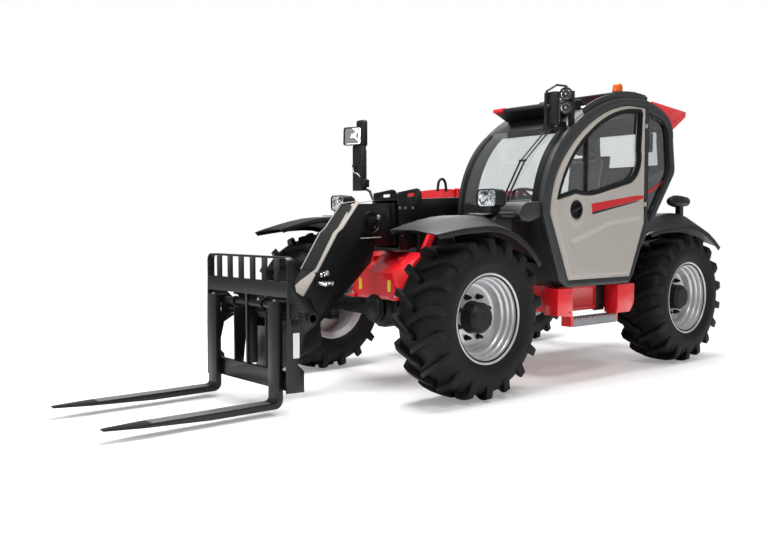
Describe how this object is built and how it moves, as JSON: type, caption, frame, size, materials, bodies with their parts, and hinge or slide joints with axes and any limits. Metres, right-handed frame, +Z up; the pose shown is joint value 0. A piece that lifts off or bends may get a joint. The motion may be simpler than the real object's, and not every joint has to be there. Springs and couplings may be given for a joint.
{
  "type": "telehandler",
  "caption": "Wheeled telehandler with a side cab, telescopic boom, goose-neck head and pallet forks; all wheels steer and the boom, door, hood and forks move.",
  "frame": {"origin": "on the ground under the middle of the box of the parked machine with its boom lowered", "axes": "+X forward along the forks, +Y to the left side with the cab, +Z up"},
  "size_m": [6.0781, 2.39, 2.6501],
  "materials": {
    "amber": "clear amber lens",
    "black_paint": "satin powder coat",
    "black_plastic": "moulded, fine grain",
    "boom_paint": "satin paint",
    "cab_paint": "satin paint",
    "cast": "painted casting",
    "door_paint": "satin paint",
    "glass": "smoked safety glass",
    "lamp": "lamp body and lens",
    "red_paint": "gloss paint",
    "rim": "silver paint",
    "rod": "hard chrome",
    "seat_cloth": "woven cloth over foam",
    "tyre": "moulded rubber"
  },
  "bodies": {
    "chassis": {"beacon": "amber", "cab_floor": "cab_paint", "cab_front_panel": "cab_paint", "cab_glass": "glass", "cab_left_side": "cab_paint", "cab_rear_panel": "cab_paint", "cab_right_side": "cab_paint", "cab_roof": "cab_paint", "engine": "cast", "engine_bay": "black_paint", "fender_stays": "black_paint", "frame": "red_paint", "front_axle": "cast", "front_fenders": "black_plastic", "head_lamps": "lamp", "mirrors": "black_plastic", "operator_seat": "seat_cloth", "rear_axle": "cast", "rear_fenders": "black_plastic", "rear_lamps": "black_plastic", "roof_guard": "black_paint", "roof_tail": "red_paint", "roof_visor": "black_plastic", "seat_pedestal": "black_plastic", "side_tank": "black_plastic", "steering_column": "black_plastic", "steps": "red_paint", "tow_hitch": "black_paint", "windscreen": "glass", "wiper": "black_plastic", "work_lamps": "black_plastic"},
    "boom_extension": {"boom_head": "boom_paint", "inner_boom": "boom_paint"},
    "cab_door": {"door": "door_paint", "door_glass": "glass", "door_handle": "black_plastic"},
    "carriage": {"fork_carriage": "black_paint", "hitch": "black_paint"},
    "left_fork": {"fork_left": "black_paint"},
    "right_fork": {"fork_right": "black_paint"},
    "hood_lid": {"hood": "red_paint"},
    "knuckle_front_left": {"knuckle_front_left": "cast"},
    "knuckle_front_right": {"knuckle_front_right": "cast"},
    "knuckle_rear_left": {"knuckle_rear_left": "cast"},
    "knuckle_rear_right": {"knuckle_rear_right": "cast"},
    "lift_cylinder": {"lift_barrel": "black_paint"},
    "lift_piston_rod": {"lift_rod": "rod"},
    "boom": {"outer_boom": "boom_paint"},
    "wheel_front_left": {"rim_front_left": "rim", "tyre_front_left": "tyre"},
    "wheel_front_right": {"rim_front_right": "rim", "tyre_front_right": "tyre"},
    "wheel_rear_left": {"rim_rear_left": "rim", "tyre_rear_left": "tyre"},
    "wheel_rear_right": {"rim_rear_right": "rim", "tyre_rear_right": "tyre"},
    "tilt_cylinder": {"tilt_barrel": "black_paint"},
    "tilt_piston_rod": {"tilt_rod": "rod"}
  },
  "joints": [
    {"name": "front_left_steer", "type": "hinge", "parent": "chassis", "child": "knuckle_front_left", "pos_m": [0.4, 0.77, 0.628], "axis": [0, 0, 1], "range_deg": [-35, 35]},
    {"name": "front_left_wheel", "type": "hinge", "parent": "knuckle_front_left", "child": "wheel_front_left", "pos_m": [0.4, 0.96, 0.628], "axis": [0, 1, 0], "continuous": true},
    {"name": "front_right_steer", "type": "hinge", "parent": "chassis", "child": "knuckle_front_right", "pos_m": [0.4, -0.77, 0.628], "axis": [0, 0, 1], "range_deg": [-35, 35]},
    {"name": "front_right_wheel", "type": "hinge", "parent": "knuckle_front_right", "child": "wheel_front_right", "pos_m": [0.4, -0.96, 0.628], "axis": [0, 1, 0], "continuous": true},
    {"name": "rear_left_steer", "type": "hinge", "parent": "chassis", "child": "knuckle_rear_left", "pos_m": [-2.41, 0.77, 0.628], "axis": [0, 0, 1], "range_deg": [-35, 35]},
    {"name": "rear_left_wheel", "type": "hinge", "parent": "knuckle_rear_left", "child": "wheel_rear_left", "pos_m": [-2.41, 0.96, 0.628], "axis": [0, 1, 0], "continuous": true},
    {"name": "rear_right_steer", "type": "hinge", "parent": "chassis", "child": "knuckle_rear_right", "pos_m": [-2.41, -0.77, 0.628], "axis": [0, 0, 1], "range_deg": [-35, 35]},
    {"name": "rear_right_wheel", "type": "hinge", "parent": "knuckle_rear_right", "child": "wheel_rear_right", "pos_m": [-2.41, -0.96, 0.628], "axis": [0, 1, 0], "continuous": true},
    {"name": "door_hinge", "type": "hinge", "parent": "chassis", "child": "cab_door", "pos_m": [-1.6538, 1.162, 1.8], "axis": [0, 0, 1], "range_deg": [0, 95]},
    {"name": "hood_hinge", "type": "hinge", "parent": "chassis", "child": "hood_lid", "pos_m": [-1, -0.2, 1.66], "axis": [-1, 0, 0], "range_deg": [0, 50]},
    {"name": "boom_lift", "type": "hinge", "parent": "chassis", "child": "boom", "pos_m": [-2.6, 0, 1.5], "axis": [0, -1, 0], "range_deg": [0, 65]},
    {"name": "boom_telescope", "type": "slide", "parent": "boom", "child": "boom_extension", "axis": [0.9989, 0, -0.0471], "range_m": [0, 2.2]},
    {"name": "carriage_tilt", "type": "hinge", "parent": "boom_extension", "child": "carriage", "pos_m": [1.252, 0, 0.447], "axis": [0, 1, 0], "range_deg": [-12, 100]},
    {"name": "left_fork_shift", "type": "slide", "parent": "carriage", "child": "left_fork", "axis": [0, 1, 0], "range_m": [-0.3515, 0.0465]},
    {"name": "right_fork_shift", "type": "slide", "parent": "carriage", "child": "right_fork", "axis": [0, -1, 0], "range_m": [-0.3515, 0.0465]},
    {"name": "lift_cylinder_swing", "type": "hinge", "parent": "chassis", "child": "lift_cylinder", "pos_m": [-2.25, 0, 0.84], "axis": [0, -1, 0], "range_deg": [-1, 57.06]},
    {"name": "lift_cylinder_stroke", "type": "slide", "parent": "lift_cylinder", "child": "lift_piston_rod", "axis": [0.9552, 0, 0.2961], "range_m": [-0.002, 0.773]},
    {"name": "tilt_cylinder_swing", "type": "hinge", "parent": "boom_extension", "child": "tilt_cylinder", "pos_m": [0.67, 0, 1.341], "axis": [0, 1, 0], "range_deg": [-1.6, 6]},
    {"name": "tilt_cylinder_stroke", "type": "slide", "parent": "tilt_cylinder", "child": "tilt_piston_rod", "axis": [0.7283, 0, -0.6853], "range_m": [-0.0564, 0.4481]}
  ],
  "couplings": [
    {"joint": "front_right_steer", "follows": "front_left_steer", "ratio": 1},
    {"joint": "rear_right_steer", "follows": "rear_left_steer", "ratio": 1},
    {"joint": "lift_cylinder_swing", "follows": "boom_lift", "ratio": 0.8548},
    {"joint": "lift_cylinder_stroke", "follows": "boom_lift", "m_per_rad": 0.67878},
    {"joint": "tilt_cylinder_swing", "follows": "carriage_tilt", "ratio": 0.05},
    {"joint": "tilt_cylinder_stroke", "follows": "carriage_tilt", "m_per_rad": 0.255}
  ]
}
